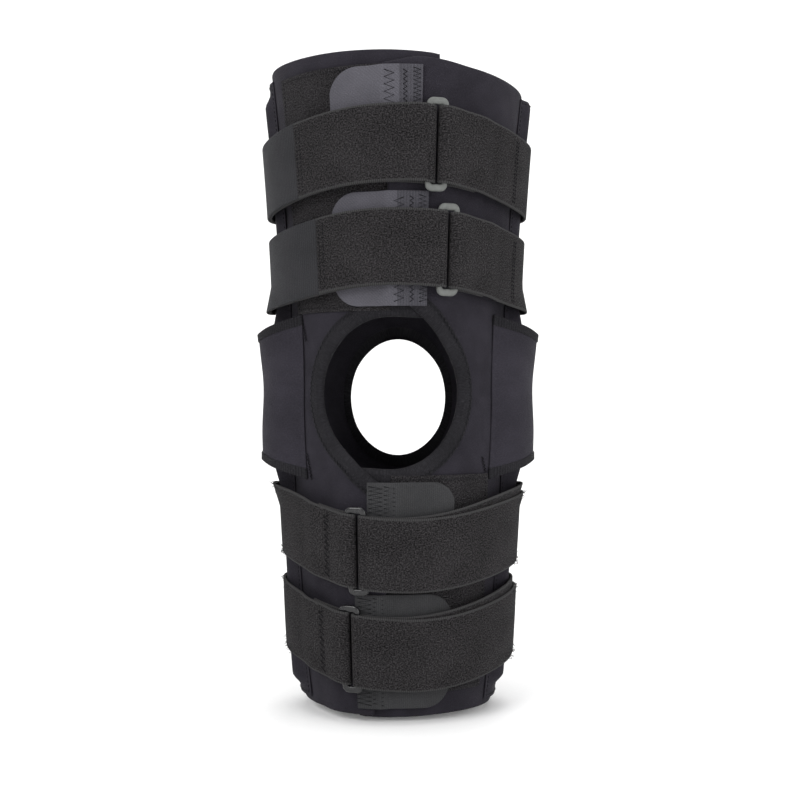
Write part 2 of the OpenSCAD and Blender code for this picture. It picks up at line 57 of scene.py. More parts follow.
PATELLA = (-4.8, 2.0, 43.7, 47.6)      # centre x and z, half width and half height
POPLITEAL = (0.0, 0.0, 39.0, 48.0)
ARM_X, ARM_T, ARM_SLACK, ARM_HALF = 75.9, 3.0, 0.4, 9.0
HEAD_END, ARM_LEAN = 36.0, 34.0        # where an arm leaves the hinge, and how long it leans to the leg
ARM_OFF, ARM_TIP = 0.6, 17.0           # an arm's gap to the leg, and from a hem to an arm's tip
POCKET_T, POCKET_SHOULDER = 2.0, 1.5
STRAP_W, WEB, HOOK_T = 45.0, 1.8, 1.5
BAR, RING_GAP, RING_H, RING_W = 3.0, 0.5, 54.5, 13.4
RING_OFF = GAP + WEB + RING_GAP + BAR / 2
BAR_S = 4.9                            # from a ring's middle to the middle of its long bars
FOLD_S = 3.5                           # how far a strap's fold reaches into the slot
BEND_ZONE = 3.4                        # how long a tail stays level by its bar
PATCH_T, TAB_T = 1.0, 1.4
CLOSURE = NEOPRENE + 2 * GAP + TAB_T   # how far the closed flaps hold a strap off the wrap
CLOSURE_HALF, CLOSURE_MID = 46, 9      # degrees that the closure lifts, and its middle
ARM_PLATEAU, OFF_ARM = 13, 45          # degrees beside an arm: fully lifted, and coming back to the wrap
STRAP_START, CHAPE_END = 130, 127      # degrees
TAIL_RISE = 14.0                       # the length over which a tail comes down from its ring
STITCH = 0.3                           # radius of a sewing thread
FLAT = 1.25                            # millimetres a degree, where the cloth is drawn flat
WAVE = 314                             # a wave texture's scale times its pitch in millimetres
PATCH = 28                             # how wide a fabric's worn patches are
COVER_Y = (-42.2, -14.0, 19.0, 32.3)   # front edge, the crown's two ends, rear edge
COVER_T, COVER_END, COVER_SLANT = 3.5, 49.5, 10.7
HINGE_OUT = 83.3                       # how far out the hinge is covered
DIP = {THIGH: 12.0, CALF: 17.0}        # how much nearer the knee a strap runs at the sides

# Height at the front, then the angles of the ring, the end of the tail's pile and the end of its hook.
RUNS = {
    "upper_thigh": (THIGH, 147.9, 15.5, -46.0, -108.0),
    "lower_thigh": (THIGH, 88.0, 21.5, -36.5, -105.0),
    "upper_calf": (CALF, -94.0, 18.5, -100.0, -138.0),
    "lower_calf": (CALF, -154.84, 22.5, -100.0, -138.0),
}
BODY = {THIGH: "thigh", CALF: "calf"}


# ---- The leg's form ----

def ease(t):
    s = np.clip(t, 0, 1)
    return s * s * (3 - 2 * s)


def shares(z):
    """How far up the thigh and down the calf a height is, from 0 at the knee to 1 at the hem."""
    return np.maximum(z, 0) / REACH[THIGH], np.maximum(-z, 0) / REACH[CALF]


def half_w(z):
    up, down = shares(z)
    return 67 + 14 * up**1.6 - 7 * down**2.6


def half_d(z):
    up, down = shares(z)
    return 63.5 + 19.5 * up**1.3 - 9.5 * down**2.6 + 2.5 * np.sin(np.pi * np.minimum(down, 1)) ** 2


def mid_y(z):
    up, down = shares(z)
    return -9.5 + 6.5 * up + 12.5 * ease(down / 0.75)


def on_leg(u, z, off, side=THIGH):
    """The point at u degrees from the front and height z, off outside the wrap."""
    u, z, off = np.broadcast_arrays(np.radians(u), np.asarray(z, float), off)
    x = side * (half_w(z) + off) * np.sin(u)
    return np.stack([x, mid_y(z) - (half_d(z) + off) * np.cos(u), z], -1)


def side_x(y, z):
    """The wrap's outside at the side, as a distance along X."""
    return half_w(z) * np.sqrt(np.maximum(0, 1 - ((y - mid_y(z)) / half_d(z)) ** 2))


def angle_at(x, z):
    """The angle of the point on the wrap's front that is seen at x."""
    return np.degrees(np.arcsin(np.clip(x / half_w(z), -1, 1)))


def arm_in(z):
    """How far from the middle an arm's inside lies: flat at the hinge, then leaning to the leg."""
    s = (np.abs(z) - HEAD_END) / ARM_LEAN
    leg = half_w(np.sign(z) * np.maximum(np.abs(z), HEAD_END + ARM_LEAN)) + ARM_OFF
    return np.where(s >= 1, leg, ARM_X + (leg - ARM_X) * np.clip(s, 0, 1))


def arm_lift(z):
    """How far off the wrap a strap has to lie to clear the pocketed arm."""
    reach = ARM_HALF + POCKET_SHOULDER + np.abs(mid_y(z))
    s = reach / (half_d(z) + ARM_T + 2 * POCKET_T)
    return (arm_in(z) + ARM_T + ARM_SLACK + POCKET_T + 0.1) / np.sqrt(1 - s * s) - half_w(z)


def strap_base(u, z):
    """How far a strap's underside is off the wrap."""
    v = (np.asarray(u, float) + 180) % 360 - 180
    side = np.degrees(np.arccos(mid_y(z) / half_d(z)))
    near = CLOSURE_HALF + CLOSURE_MID * np.sign(v)
    lift = CLOSURE + (arm_lift(z) - CLOSURE) * ease((np.abs(v) - near) / (side - ARM_PLATEAU - near))
    return lift * (1 - ease((np.abs(v) - side - ARM_PLATEAU) / OFF_ARM))


def flap_edge(z, side):
    """The angle of a flap's free edge, in its own half's frame."""
    share = (np.abs(z) - 60) / 140
    return -1.7 - 4 * share if side == THIGH else 1.7 + 13 * share


def flap_lift(u, z, side):
    """How far the flap stands off, where it lies over the other one; u runs up from the flap's edge."""
    over = 1 - ease((u - flap_edge(z, side) - 20) / 20)
    return (NEOPRENE + GAP) * over * ease((np.abs(z) - 26) / 20)


def crease(u, z):
    """The neoprene's slight unevenness."""
    return noise.noise(Vector((math.sin(math.radians(u)) * 2.1, math.cos(math.radians(u)) * 2.1, z / 34)))


# ---- Meshes ----

def piece(name, points, faces, material, uv=None, sharp=50):
    """An object from points in millimetres, with uv in millimetres on the flat cloth."""
    mesh = bpy.data.meshes.new(name)
    mesh.from_pydata((np.asarray(points, float) * MM).tolist(), [], faces)
    if uv is not None:
        layer = mesh.uv_layers.new(name="Flat")
        corners = np.zeros(len(mesh.loops), int)
        mesh.loops.foreach_get("vertex_index", corners)
        layer.data.foreach_set("uv", (np.asarray(uv, float) * MM)[corners].ravel())
    shaped = bmesh.new()
    shaped.from_mesh(mesh)
    bmesh.ops.recalc_face_normals(shaped, faces=shaped.faces)
    shaped.to_mesh(mesh)
    shaped.free()
    mesh.shade_smooth()
    mesh.set_sharp_from_angle(angle=math.radians(sharp))
    mesh.materials.append(material)
    made = bpy.data.objects.new(name, mesh)
    bpy.context.scene.collection.objects.link(made)
    return made


def loft_faces(n, m, ring=False):
    """Faces round n loops of m points, capped at both ends unless the loops form a ring."""
    faces = []
    for i in range(n if ring else n - 1):
        a, b = i * m, (i + 1) % n * m
        faces += [(a + j, a + (j + 1) % m, b + (j + 1) % m, b + j) for j in range(m)]
    return faces if ring else faces + [tuple(range(m)), tuple(range((n - 1) * m, n * m))]


def lofted(name, rings, material, uv, ring=False, sharp=50):
    """An object through cross-sections that have the same number of points."""
    rings = np.array(rings)
    return piece(name, rings.reshape(-1, 3), loft_faces(*rings.shape[:2], ring), material, uv, sharp)


def dashes(points):
    """Every other step of a line, as the threads of a straight stitch."""
    return [points[k:k + 2] for k in range(0, len(points) - 1, 2)]


def tape_section(width, t, across):
    """A tape's cross-section with soft edges: places across it and through it."""
    r = t / 2
    turn = np.radians([60, 30, 0, -30, -60])
    edge = width / 2 - r
    low = np.linspace(edge, -edge, max(across // 3, 3))
    top = np.linspace(-edge, edge, across)
    w = np.concatenate([top, edge + r * np.cos(turn), low, -edge - r * np.cos(turn)])
    n = np.concatenate([np.full(across, r), r * np.sin(turn), np.full(len(low), -r), -r * np.sin(turn)])
    return w, n


def threads(name, lines, radius, material, sides=5):
    """Thin round threads along lines of points."""
    points, faces, uv = [], [], []
    ring = np.radians(np.arange(sides) * 360 / sides)
    for line in lines:
        line = np.asarray(line, float)
        along = np.gradient(line, axis=0)
        along /= np.linalg.norm(along, axis=1)[:, None] + 1e-9
        a = np.cross(along, [0.31, 0.17, 0.93])
        a /= np.linalg.norm(a, axis=1)[:, None] + 1e-9
        b = np.cross(along, a)
        start = len(points)
        for p, s, t in zip(line, a, b):
            points += [p + radius * (s * math.cos(r) + t * math.sin(r)) for r in ring]
            uv += [(np.linalg.norm(p - line[0]), r) for r in ring]
        faces += [tuple(start + k for k in f) for f in loft_faces(len(line), sides)]
    return piece(name, points, faces, material, uv)


def resampled(path, step):
    """The path with its points about step apart."""
    path = np.asarray(path, float)
    along = np.concatenate([[0], np.cumsum(np.linalg.norm(np.diff(path, axis=0), axis=1))])
    wanted = np.linspace(0, along[-1], max(int(round(along[-1] / step)), 2) + 1)
    return np.stack([np.interp(wanted, along, path[:, k]) for k in range(path.shape[1])], -1)


def smoothed(path, times):
    """The path with its corners rounded and its ends kept."""
    path = np.array(path, float)
    for _ in range(times):
        path[1:-1] = (path[:-2] + 2 * path[1:-1] + path[2:]) / 4
    return path


def zigzag(path, low, high, step):
    """A line that runs between the distances low and high to the left of a path."""
    path = resampled(path, step)
    along = np.gradient(path, axis=0)
    left = np.stack([-along[:, 1], along[:, 0]], -1)
    left /= np.linalg.norm(left, axis=1)[:, None]
    far = np.where(np.arange(len(path)) % 2 == 0, low, high)
    return path + left * far[:, None]


# ---- Materials ----

def node(tree, kind, settings=None, **inputs):
    made = tree.nodes.new(kind)
    for key, value in (settings or {}).items():
        setattr(made, key, value)
    for key, value in inputs.items():
        socket = made.inputs[int(key[1:]) if key[0] == "i" and key[1:].isdigit() else key]
        if isinstance(value, bpy.types.NodeSocket):
            tree.links.new(value, socket)
        else:
            socket.default_value = value
    return made


def math_node(tree, operation, a, b=0.0, clamp=False):
    return node(tree, "ShaderNodeMath", {"operation": operation, "use_clamp": clamp}, i0=a, i1=b).outputs[0]


def blended(tree, a, b, share):
    """The value a, with b's share of the whole in it."""
    parts = math_node(tree, "MULTIPLY", a, 1 - share), math_node(tree, "MULTIPLY", b, share)
    return math_node(tree, "ADD", *parts, clamp=True)


def mixed(tree, factor, a, b):
    made = node(tree, "ShaderNodeMix", {"data_type": "RGBA"}, i0=factor)
    for k, value in ((6, a), (7, b)):
        if isinstance(value, bpy.types.NodeSocket):
            tree.links.new(value, made.inputs[k])
        else:
            made.inputs[k].default_value = (*value, 1)
    return made.outputs[2]


def surface(name, **settings):
    """A material with its Principled sockets set, and its tree."""
    made = bpy.data.materials.new(name)
    made.use_nodes = True
    shader = made.node_tree.nodes["Principled BSDF"]
    for key, value in settings.items():
        shader.inputs[key.replace("_", " ")].default_value = value
    return made, made.node_tree, shader


def spread(tree, socket, low, high):
    """The socket's value, drawn out from low..high to 0..1."""
    return node(tree, "ShaderNodeMapRange", {"interpolation_type": "SMOOTHSTEP"},
                i0=socket, i1=low, i2=high).outputs[0]


def cloth(name, dark, light, grain, rough, sheen, depth, rib=None, edge=None, worn=0.35, detail=2.0):
    """A fabric: grain and bump depth in millimetres, rib as (pitch, direction, strength),
    edge as (distance from the tape's middle, colour), worn as the share of the wide patches."""
    made, tree, shader = surface(name, Sheen_Weight=sheen, Sheen_Roughness=0.5, Specular_IOR_Level=0.07)
    flat = node(tree, "ShaderNodeTexCoord").outputs["UV"]
    fine = node(tree, "ShaderNodeTexNoise", Vector=flat, Scale=1 / (grain * MM), Detail=detail,
                Roughness=0.75).outputs[0]
    wide = node(tree, "ShaderNodeTexNoise", Vector=flat, Scale=1 / (PATCH * MM), Detail=4.0,
                Roughness=0.6).outputs[0]
    speck = spread(tree, fine, 0.4, 0.66)
    patchy = spread(tree, wide, 0.3, 0.7)
    factor = blended(tree, speck, patchy, worn)
    height = speck
    if rib:
        pitch, direction, strength = rib
        bands = node(tree, "ShaderNodeTexWave", {"bands_direction": direction}, Vector=flat,
                     Scale=WAVE / pitch, Distortion=0.6, Detail=1.0).outputs[1]
        height = math_node(tree, "ADD", math_node(tree, "MULTIPLY", bands, strength), speck)
        factor = blended(tree, factor, bands, strength / 2)
    colour = mixed(tree, factor, dark, light)
    if edge:
        across = node(tree, "ShaderNodeSeparateXYZ", Vector=flat).outputs[1]
        rim = spread(tree, math_node(tree, "ABSOLUTE", across), edge[0] * MM, (edge[0] + 0.5) * MM)
        weave = node(tree, "ShaderNodeTexWave", {"bands_direction": "X"}, Vector=flat,
                     Scale=WAVE / 1.1).outputs[1]
        colour = mixed(tree, rim, colour, mixed(tree, weave, tuple(c * 0.55 for c in edge[1]), edge[1]))
    bump = node(tree, "ShaderNodeBump", Strength=1.0, Distance=depth * MM, Height=height).outputs[0]
    tree.links.new(colour, shader.inputs["Base Color"])
    tree.links.new(bump, shader.inputs["Normal"])
    roughness = node(tree, "ShaderNodeMapRange", i0=factor, i3=min(rough + 0.08, 1), i4=rough - 0.08)
    tree.links.new(roughness.outputs[0], shader.inputs["Roughness"])
    return made


def moulded(name, colour, rough, spot, coat=0.0):
    """A moulded plastic with faint flow marks."""
    made, tree, shader = surface(name, Coat_Weight=coat, Coat_Roughness=0.12, Specular_IOR_Level=0.3)
    place = node(tree, "ShaderNodeTexCoord").outputs["Object"]
    flow = node(tree, "ShaderNodeTexNoise", Vector=place, Scale=260.0, Detail=3.0, Distortion=1.2).outputs[0]
    grain = node(tree, "ShaderNodeTexNoise", Vector=place, Scale=2600.0, Detail=2.0).outputs[0]
    tree.links.new(mixed(tree, spread(tree, flow, 0.3, 0.7), colour, tuple(c * spot for c in colour)),
                   shader.inputs["Base Color"])
    rough_map = node(tree, "ShaderNodeMapRange", i0=flow, i3=rough - 0.06, i4=rough + 0.1).outputs[0]
    tree.links.new(rough_map, shader.inputs["Roughness"])
    tree.links.new(node(tree, "ShaderNodeBump", Strength=0.5, Distance=0.00004, Height=grain).outputs[0],
                   shader.inputs["Normal"])
    return made


def metal(name, colour, rough, stretch):
    """A brushed metal, whose marks run along the stretched axis."""
    made, tree, shader = surface(name, Metallic=1.0)
    place = node(tree, "ShaderNodeTexCoord").outputs["Object"]
    drawn = node(tree, "ShaderNodeMapping", Vector=place, Scale=stretch).outputs[0]
    lines = node(tree, "ShaderNodeTexNoise", Vector=drawn, Scale=900.0, Detail=4.0).outputs[0]
    smudge = node(tree, "ShaderNodeTexNoise", Vector=place, Scale=60.0, Detail=3.0).outputs[0]
    tree.links.new(mixed(tree, spread(tree, lines, 0.3, 0.7), colour, tuple(c * 0.8 for c in colour)),
                   shader.inputs["Base Color"])
    mark = blended(tree, lines, smudge, 0.4)
    roughness = node(tree, "ShaderNodeMapRange", i0=mark, i1=0.3, i2=0.7, i3=rough - 0.08, i4=rough + 0.12)
    tree.links.new(roughness.outputs[0], shader.inputs["Roughness"])
    tree.links.new(node(tree, "ShaderNodeBump", Strength=0.4, Distance=0.00003, Height=lines).outputs[0],
                   shader.inputs["Normal"])
    return made


NAVY = cloth("neoprene_jersey", (0.0135, 0.0122, 0.0162), (0.0255, 0.0233, 0.0305), 0.7, 0.8, 0.02, 0.1,
             worn=0.5)
COVER = cloth("cover_jersey", (0.0165, 0.015, 0.0198), (0.03, 0.0275, 0.036), 0.7, 0.76, 0.03, 0.1,
              worn=0.5)
POCKET = cloth("pocket_jersey", (0.013, 0.0118, 0.0155), (0.0245, 0.0225, 0.029), 0.7, 0.82, 0.02, 0.1,
               worn=0.5)
PILE = cloth("strap_pile", (0.0012, 0.0012, 0.0013), (0.06, 0.056, 0.059), 0.85, 0.97, 0.02, 0.34,
             edge=(20.9, (0.055, 0.054, 0.055)), worn=0.12, detail=5.0)
LOOP = cloth("loop_pile", (0.0012, 0.0012, 0.0014), (0.056, 0.052, 0.056), 0.85, 0.97, 0.02, 0.34,
             worn=0.15, detail=5.0)
HOOK = cloth("strap_hook", (0.014, 0.014, 0.0155), (0.034, 0.034, 0.0375), 0.6, 0.66, 0.015, 0.1,
             rib=(1.5, "X", 0.6))
TAB_GREY = cloth("tab_webbing", (0.055, 0.0535, 0.0625), (0.104, 0.101, 0.117), 0.6, 0.75, 0.02, 0.12,
                 rib=(1.0, "DIAGONAL", 0.4))
TAB_SEWN = cloth("tab_webbing_sewn", (0.035, 0.034, 0.04), (0.076, 0.074, 0.086), 0.6, 0.75, 0.02, 0.14,
                 rib=(1.6, "X", 0.55))
TAB_DARK = cloth("tab_webbing_dark", (0.023, 0.023, 0.0242), (0.05, 0.05, 0.0525), 0.6, 0.78, 0.02, 0.12,
                 rib=(1.3, "X", 0.5))
BINDING = cloth("binding_tape", (0.005, 0.0048, 0.0058), (0.022, 0.021, 0.0245), 0.7, 0.75, 0.02, 0.14,
                rib=(0.9, "X", 0.7))
THREAD = cloth("sewing_thread", (0.002, 0.002, 0.003), (0.01, 0.01, 0.012), 0.5, 0.55, 0.01, 0.05)
FOAM = cloth("pad_foam", (0.02, 0.02, 0.022), (0.045, 0.045, 0.048), 0.8, 0.95, 0.01, 0.25)
# The thigh rings' grey is a painted reflection of the bright surroundings, laid on the same black plastic
# that the calf rings show.
RING_PAINTED_REFLECTION = moulded("ring_plastic_painted_reflection", (0.115, 0.12, 0.115), 0.5, 0.85)
RING_BLACK = moulded("ring_plastic_black", (0.008, 0.008, 0.009), 0.24, 0.8, coat=0.4)
LINER = moulded("liner_plastic", (0.72, 0.71, 0.66), 0.4, 0.93)
ARM_METAL = metal("arm_alloy", (0.7, 0.71, 0.72), 0.34, (1, 1, 0.03))
PLATE_METAL = metal("plate_alloy", (0.62, 0.63, 0.65), 0.38, (1, 0.04, 1))
PIN_METAL = metal("pin_steel", (0.55, 0.55, 0.57), 0.3, (0.05, 1, 1))


# ---- The wrap ----

def oval(hole, t0, t1, rear=0.0):
    """Angles and heights round an opening, where t is from its right-hand side, counter-clockwise."""
    t = np.radians(np.linspace(t0, t1, 40))
    z = hole[1] + hole[3] * np.sin(t)
    u = angle_at(hole[0] + hole[2] * np.cos(t), z)
    return np.stack([rear - u if rear else u, z], -1)


def front_path(points):
    """Angles and heights of points given by x and z."""
    points = np.asarray(points, float)
    return np.stack([angle_at(points[:, 0], points[:, 1]), points[:, 1]], -1)


def edge_line(curve, tail):
    """The two parts of an edge as one smooth line."""
    return smoothed(resampled(np.concatenate([curve, tail]) * (FLAT, 1), 2.2), 2) / (FLAT, 1)


def over_edge(side):
    """The edge of the flap on top, from the knee's side round the patella opening to the free edge."""
    hole = (side * PATELLA[0], *PATELLA[1:])
    level = math.degrees(math.asin(-hole[1] / hole[3]))
    if side == THIGH:
        curve = oval(hole, level, 46)
        tail = front_path([(24.4, 38.0), (16.0, 48.0), (6.8, 56.2), (-1.6, 61.5)])
    else:
        curve = oval(hole, level, -53)
        tail = front_path([(27.4, -38.8), (21.5, -44.8), (11.8, -53.3), (2.4, -61.0)])
    return edge_line(curve, tail)


def under_edge(side):
    """The edge of the flap below, round the opening and then level under the other flap."""
    hole = (side * PATELLA[0], *PATELLA[1:])
    level = 180 + math.degrees(math.asin(hole[1] / hole[3]))
    if side == THIGH:
        curve = oval(hole, level, 90)
        tail = front_path([(4.0, 49.4), (13.0, 49.0), (20.5, 48.8)])
    else:
        curve = oval(hole, level, 270)
        tail = front_path([(9.0, -45.4), (18.0, -44.8), (26.0, -44.6)])
    return edge_line(curve, tail) + (360, 0)


def rear_edge(side):
    """The edge of the popliteal opening in one half, in the order that the outline takes it."""
    return oval(POPLITEAL, 0, side * 180, rear=180.0)


def hem(u, side):
    """The hem's height: it slants across the leg, and the flap on top stops short of the one below."""
    u = np.asarray(u, float)
    wave = 0.6 * np.sin(np.radians(u * 3 + 40))
    if side == THIGH:
        short = 4 * (1 - ease((u - 70) / 110)) + 4 * (1 - ease((u + 6) / 16))
        return 201.7 - 4.5 * np.sin(np.radians(u)) - 1.5 * np.sin(np.radians(u)) ** 2 - short + wave
    short = 2 * (1 - ease((u - 70) / 110))
    return -(194.6 - short + wave)


def half_outline(side):
    """One half of the wrap drawn flat: its outline in degrees and heights."""
    over, under, rear = over_edge(side), under_edge(side), rear_edge(side)
    over[0, 1] = under[0, 1] = rear[0, 1] = rear[-1, 1] = 0
    far = under[-1, 0]
    free_z = np.linspace(hem(flap_edge(REACH[side], side), side), over[-1, 1], 40)
    free = np.stack([flap_edge(free_z, side), free_z], -1)
    end_z = np.linspace(under[-1, 1], hem(far, side), 44)
    end = np.stack([far + 0 * end_z, end_z], -1)
    top_u = np.linspace(far, free[0, 0], 150)
    top = np.stack([top_u, hem(top_u, side)], -1)
    knee_a = np.stack([np.linspace(over[0, 0], rear[0, 0], 40), np.zeros(40)], -1)
    knee_b = np.stack([np.linspace(rear[-1, 0], under[0, 0], 40), np.zeros(40)], -1)
    parts = [over, free[::-1], top[::-1], end[::-1], under[::-1], knee_b[::-1], rear[::-1], knee_a[::-1]]
    loop = []
    for part in parts:
        for p in part:
            if not loop or np.hypot(*((np.array(p) - loop[-1]) * (FLAT, 1))) > 0.4:
                loop.append(np.array(p, float))
    return np.array(loop)


def inside(points, loop):
    """Which points lie in the loop."""
    x, y = points[:, 0], points[:, 1]
    found = np.zeros(len(points), bool)
    for (xa, ya), (xb, yb) in zip(loop, np.roll(loop, -1, axis=0)):
        if ya != yb:
            cross = (ya > y) != (yb > y)
            found ^= cross & (x < (xb - xa) * (y - ya) / (yb - ya) + xa)
    return found


def flat_mesh(loop, spacing):
    """Triangles that fill the loop: points, triangles."""
    low, high = loop.min(0), loop.max(0)
    across, up = (np.arange(low[k], high[k], spacing) for k in (0, 1))
    grid = np.stack(np.meshgrid(across, up), -1).reshape(-1, 2) + 0.37
    grid = grid[inside(grid, loop)]
    near = np.full(len(grid), 1e9)
    for p in loop:
        near = np.minimum(near, ((grid - p) ** 2).sum(1))
    grid = grid[near > (0.62 * spacing) ** 2]
    every = np.concatenate([loop, grid])
    n = len(loop)
    edges = [(i, (i + 1) % n) for i in range(n)]
    out = delaunay_2d_cdt([Vector(p) for p in every], edges, [], 0, 1e-5)
    points = np.array([tuple(p) for p in out[0]])
    triangles = np.array([f for f in out[2] if len(f) == 3])
    middle = points[triangles].mean(1)
    return points, triangles[inside(middle, loop)]


def half_wrap(side, name, material):
    """Half of the wrap as one sheet of neoprene, with soft edges all round and a flat joint at the knee."""
    loop = half_outline(side)
    flat, triangles = flat_mesh(loop * (FLAT, 1), 4.0)
    used = np.unique(triangles)
    renumber = -np.ones(len(flat), int)
    renumber[used] = np.arange(len(used))
    flat, triangles = flat[used] / (FLAT, 1), renumber[triangles]
    count = {}
    for a, b, c in triangles:
        for e in ((a, b), (b, c), (c, a)):
            count[e] = count.get(e, 0) + 1
    rim = [e for e in count if (e[1], e[0]) not in count]
    u, z = flat[:, 0], flat[:, 1]
    puff = np.array([crease(*p) for p in flat])
    lift = np.where(u < 90, flap_lift(u, z, side), 0)
    fade = ease((np.abs(z) - 4) / 30)
    outer = on_leg(u, z, lift + 0.5 * puff * fade, side)
    inner = on_leg(u, z, lift - NEOPRENE + 0.3 * puff * fade, side)
    n = len(flat)
    points = [*outer, *inner]
    uv = [*(flat * (FLAT, 1)), *(flat * (FLAT, 1) + (7, 0))]
    faces = [tuple(t) for t in triangles] + [tuple(t[::-1] + n) for t in triangles]
    away = np.zeros((n, 2))
    for a, b in rim:
        along = (flat[b] - flat[a]) * (FLAT, 1)
        normal = np.array([along[1], -along[0]])
        away[a] += normal
        away[b] += normal
    rounds = {}
    for a in sorted({v for e in rim for v in e}):
        out = away[a] / (np.linalg.norm(away[a]) + 1e-9) * (abs(z[a]) > 0.01)
        middle = (outer[a] + inner[a]) / 2
        through = outer[a] - middle
        p = on_leg(u[a] + out[0] / FLAT, z[a] + out[1], lift[a] - NEOPRENE / 2, side) - on_leg(
            u[a], z[a], lift[a] - NEOPRENE / 2, side)
        rounds[a] = len(points)
        for turn in (50, 0, -50):
            points.append(middle + through * math.sin(math.radians(turn))
                          + p * (1.5 * math.cos(math.radians(turn))))
            uv.append(flat[a] * (FLAT, 1) + (3 - turn / 25, 0))
    for a, b in rim:
        ladder_a, ladder_b = ([v, *range(rounds[v], rounds[v] + 3), v + n] for v in (a, b))
        faces += [(ladder_a[k], ladder_a[k + 1], ladder_b[k + 1], ladder_b[k]) for k in range(4)]
    return piece(name, points, faces, material, uv, sharp=60)


def tape_along(name, path, side, inner, outer, t, material, over=True):
    """A tape bound over an edge: from inner under it, round it, to outer away from it on the outside."""
    path = np.asarray(path, float) * (FLAT, 1)
    along = np.gradient(path, axis=0)
    away = np.stack([-along[:, 1], along[:, 0]], -1)
    for end in (0, -1):
        away[end, 1] *= abs(path[end, 1]) > 0.1   # square at the knee, where the two halves meet
    away /= np.linalg.norm(away, axis=1)[:, None]
    across = np.linspace(0, 1, 9)
    crown = 0.25 * np.sin(np.pi * across)
    top = [(outer * (1 - a) + 0.6 * a, 0.25 + t * min(1, 3.2 * a + 0.35) + c) for a, c in zip(across, crown)]
    bend = [(-1.6, -0.7), (-2.1, -2.0), (-1.6, -3.3)]
    under = [(0.6, -4.5), (inner, -4.5), (inner, -4.1), (0.2, -4.0),
             (-0.9, -2.9), (-1.2, -2.0), (-0.9, -1.0), (0.2, 0.1)]
    profile = top + bend + under + [(outer, 0.1)]
    rings = []
    for d, off in profile:
        q = (path + away * d) / (FLAT, 1)
        lift = flap_lift(path[:, 0] / FLAT, path[:, 1], side) if over else 0
        rings.append(on_leg(q[:, 0], q[:, 1], lift + off, side))
    rings = np.stack(rings, 1)
    m = rings.shape[1]
    length = np.concatenate([[0], np.cumsum(np.linalg.norm(np.diff(path, axis=0), axis=1))])
    v = [-8 * k / m for k in range(m)]
    uv = [(s, q) for s in length for q in v]
    return lofted(name, rings, material, uv)


def bending(made, half):
    """A piece near the knee, with its transform baked into its mesh, for either half alike."""
    if half == THIGH:
        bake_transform(made)
    else:
        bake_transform(made)
    return made


def wrap_half(side):
    """A half of the wrap with its bindings and their stitches."""
    part = BODY[side]
    wrap = bending(half_wrap(side, f"{part}_wrap_sheet", NAVY), side)
    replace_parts(wrap, f"{part}_wrap", "knee_panel")
    hands = ("right", "left")[::side]
    for which, path, stands_for in (("over", over_edge(side), f"patella_binding_{hands[0]}"),
                                    ("under", under_edge(side), f"patella_binding_{hands[1]}"),
                                    ("rear", rear_edge(side), "popliteal_binding")):
        # the tape lies on the cloth's side of the path
        path = path if (which == "under") == (side == THIGH) else path[::-1]
        over = which == "over"
        tape = tape_along(f"{part}_binding_{which}", path, side, 6.0, 7.9, 0.8, BINDING, over)
        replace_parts(bending(tape, side), stands_for)
        line = zigzag(path * (FLAT, 1), 5.2, 6.8, 1.5) / (FLAT, 1)
        lift = flap_lift(line[:, 0], line[:, 1], side) if over else 0
        stitches = threads(f"{part}_binding_{which}_stitches",
                           [on_leg(line[:, 0], line[:, 1], lift + 1.2, side)], 0.28, THREAD)
        bending(stitches, side)


# ---- The front closure ----

def skin_loft(name, us, lo, hi, base, t, material, side, across=24, relief=0.0, seed=1):
    """A tape-like skin over the angles us, between the heights lo and hi, base off the wrap."""
    rng = np.random.default_rng(seed)
    rings, uv = [], []
    for u in us:
        w, n = tape_section(hi(u) - lo(u), t, across)
        z = (lo(u) + hi(u)) / 2 + w
        n = n + relief * rng.random(len(n)) * (n > 0)
        rings.append(on_leg(u, z, base(u, z) + t / 2 + n, side))
        uv += [(u * FLAT, v) for v in z]
    return lofted(name, rings, material, uv)


def border(us, z0, z1, inset, off, side):
    """Stitches along a patch's lower, outer and upper edge, as short threads."""
    u0, u1 = us[0] + inset / FLAT, us[1]
    corners = np.array([(u1, z0 + inset), (u0, z0 + inset), (u0, z1 - inset), (u1, z1 - inset)])
    path = resampled(corners * (FLAT, 1), 1.3) / (FLAT, 1)
    return dashes(on_leg(path[:, 0], path[:, 1], off, side))


def loop_patch(side):
    """The loop pile on the flap below, that the tabs are pressed on."""
    part, edge = BODY[side], flap_edge(90, side) - 1
    z0, z1, far = (51.0, 195.0, -62) if side == THIGH else (-181.0, -47.0, -54)
    us = np.linspace(far, edge, 44)
    patch = skin_loft(f"{part}_loop_pile", us, lambda u: z0, lambda u: z1,
                      lambda u, z: GAP, 1.2, LOOP, side, across=80, relief=0.3, seed=5)
    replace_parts(bending(patch, side), f"{part}_loop_patch")
    lines = border((far, edge), z0, z1, 2.6, GAP + 1.35, side)
    bending(threads(f"{part}_loop_stitches", lines, STITCH, THREAD), side)


